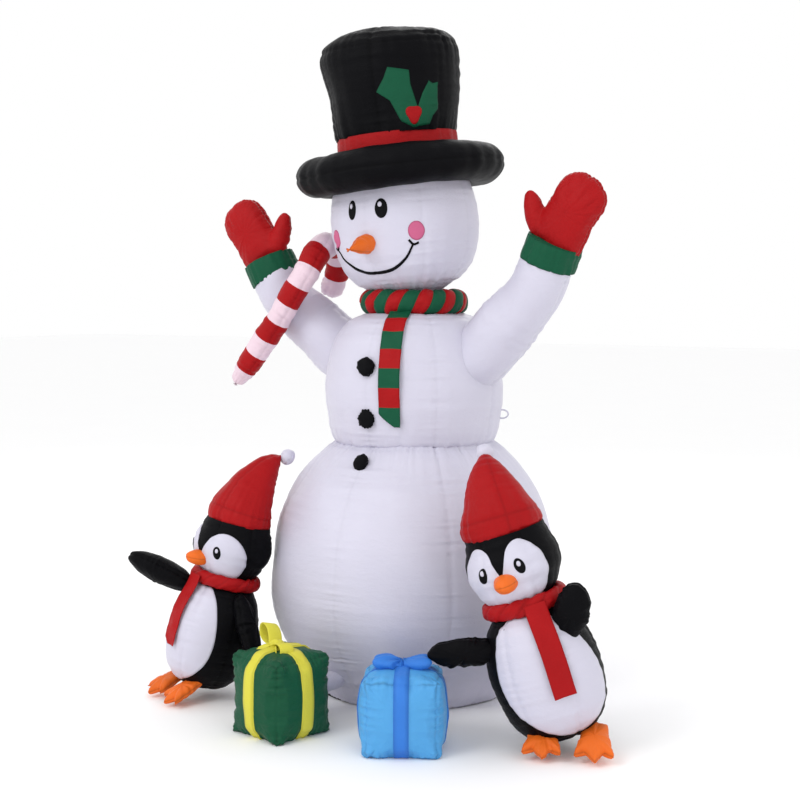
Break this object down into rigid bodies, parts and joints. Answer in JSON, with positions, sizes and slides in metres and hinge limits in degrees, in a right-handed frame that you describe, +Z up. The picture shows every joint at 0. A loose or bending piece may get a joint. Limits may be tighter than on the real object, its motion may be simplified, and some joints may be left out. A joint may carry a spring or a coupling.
{
  "type": "inflatable yard snowman",
  "caption": "Inflatable yard snowman with a top hat, raised arms, a striped scarf and a candy cane, joined to two penguins and two gift boxes blown up by one fan.",
  "frame": {"origin": "centre of the underside of the snowman's base panel, on the ground", "axes": "+Z up through the snowman, -Y the way its face and buttons point, +X to its own left"},
  "size_m": [1.7792, 1.4093, 2.3896],
  "materials": {
    "white_fabric": "smooth woven polyester taffeta, slightly translucent",
    "black_fabric": "smooth woven polyester taffeta",
    "red_fabric": "smooth woven polyester taffeta",
    "green_fabric": "smooth woven polyester taffeta",
    "gift_green_fabric": "smooth woven polyester taffeta",
    "gift_blue_fabric": "smooth woven polyester taffeta",
    "yellow_fabric": "smooth woven polyester taffeta",
    "ribbon_blue_fabric": "smooth woven polyester taffeta",
    "orange_fabric": "smooth woven polyester taffeta",
    "striped_fabric": "white taffeta with printed red bands",
    "base_fabric": "coated oxford cloth",
    "black_plastic": "moulded, fine grain",
    "grey_plastic": "moulded, smooth",
    "lamp_plastic": "frosted",
    "motor_steel": "plated can",
    "zip_metal": "plated"
  },
  "bodies": {
    "inflated_figure": {"base_panel": "base_fabric", "belly_shell": "white_fabric", "torso_shell": "white_fabric", "head_shell": "white_fabric", "left_arm": "white_fabric", "right_arm": "white_fabric", "left_tether_loop": "white_fabric", "right_tether_loop": "white_fabric", "left_penguin_duct": "white_fabric", "right_penguin_duct": "white_fabric", "left_gift_duct": "white_fabric", "right_gift_duct": "white_fabric", "blower_collar": "white_fabric", "zip_tape": "white_fabric", "left_penguin_pompom": "white_fabric", "right_penguin_pompom": "white_fabric", "left_cuff": "green_fabric", "right_cuff": "green_fabric", "left_mitten": "red_fabric", "right_mitten": "red_fabric", "hat_band": "red_fabric", "scarf_ring": "red_fabric", "left_penguin_hat": "red_fabric", "right_penguin_hat": "red_fabric", "left_penguin_scarf_ring": "red_fabric", "right_penguin_scarf_ring": "red_fabric", "candy_cane": "striped_fabric", "button_1": "black_fabric", "button_2": "black_fabric", "button_3": "black_fabric", "hat_brim": "black_fabric", "hat_crown": "black_fabric", "left_penguin_body": "black_fabric", "right_penguin_body": "black_fabric", "left_penguin_outer_flipper": "black_fabric", "left_penguin_inner_flipper": "black_fabric", "right_penguin_outer_flipper": "black_fabric", "right_penguin_inner_flipper": "black_fabric", "carrot_nose": "orange_fabric", "left_penguin_beak": "orange_fabric", "right_penguin_beak": "orange_fabric", "left_penguin_left_foot": "orange_fabric", "left_penguin_right_foot": "orange_fabric", "right_penguin_left_foot": "orange_fabric", "right_penguin_right_foot": "orange_fabric", "right_gift_box": "gift_green_fabric", "left_gift_box": "gift_blue_fabric", "right_gift_bow": "yellow_fabric", "left_gift_bow": "ribbon_blue_fabric", "blower_housing": "black_plastic", "blower_grille": "black_plastic", "power_inlet": "black_plastic", "blower_motor": "motor_steel", "led_lamp": "lamp_plastic"},
    "blower_impeller_body": {"blower_impeller": "grey_plastic"},
    "zip_slider_body": {"zip_slider": "zip_metal"},
    "zip_pull_body": {"zip_pull": "zip_metal"},
    "scarf_tail_body": {"scarf_tail": "green_fabric"},
    "left_penguin_scarf_tail_body": {"left_penguin_scarf_tail": "red_fabric"},
    "right_penguin_scarf_tail_body": {"right_penguin_scarf_tail": "red_fabric"}
  },
  "joints": [
    {"name": "impeller_spin", "type": "hinge", "parent": "inflated_figure", "child": "blower_impeller_body", "pos_m": [0, 0.414, 0.092], "axis": [0, 1, 0], "continuous": true},
    {"name": "zip_slide", "type": "slide", "parent": "inflated_figure", "child": "zip_slider_body", "axis": [0, 0, -1], "range_m": [0, 0.15]},
    {"name": "zip_pull_swing", "type": "hinge", "parent": "zip_slider_body", "child": "zip_pull_body", "pos_m": [0, 0.5373, 0.502], "axis": [1, 0, 0], "range_deg": [0, 150]},
    {"name": "scarf_tail_swing", "type": "hinge", "parent": "inflated_figure", "child": "scarf_tail_body", "pos_m": [0.05485, -0.19129, 1.41], "axis": [-0.9613, -0.2756, 0], "range_deg": [0, 70]},
    {"name": "left_penguin_tail_swing", "type": "hinge", "parent": "inflated_figure", "child": "left_penguin_scarf_tail_body", "pos_m": [0.7659, -0.5574, 0.4897], "axis": [-0.7243, -0.6291, -0.2822], "range_deg": [0, 60]},
    {"name": "right_penguin_tail_swing", "type": "hinge", "parent": "inflated_figure", "child": "right_penguin_scarf_tail_body", "pos_m": [-0.5303, -0.6049, 0.4565], "axis": [-0.9296, 0.3513, 0.1114], "range_deg": [0, 60]}
  ]
}
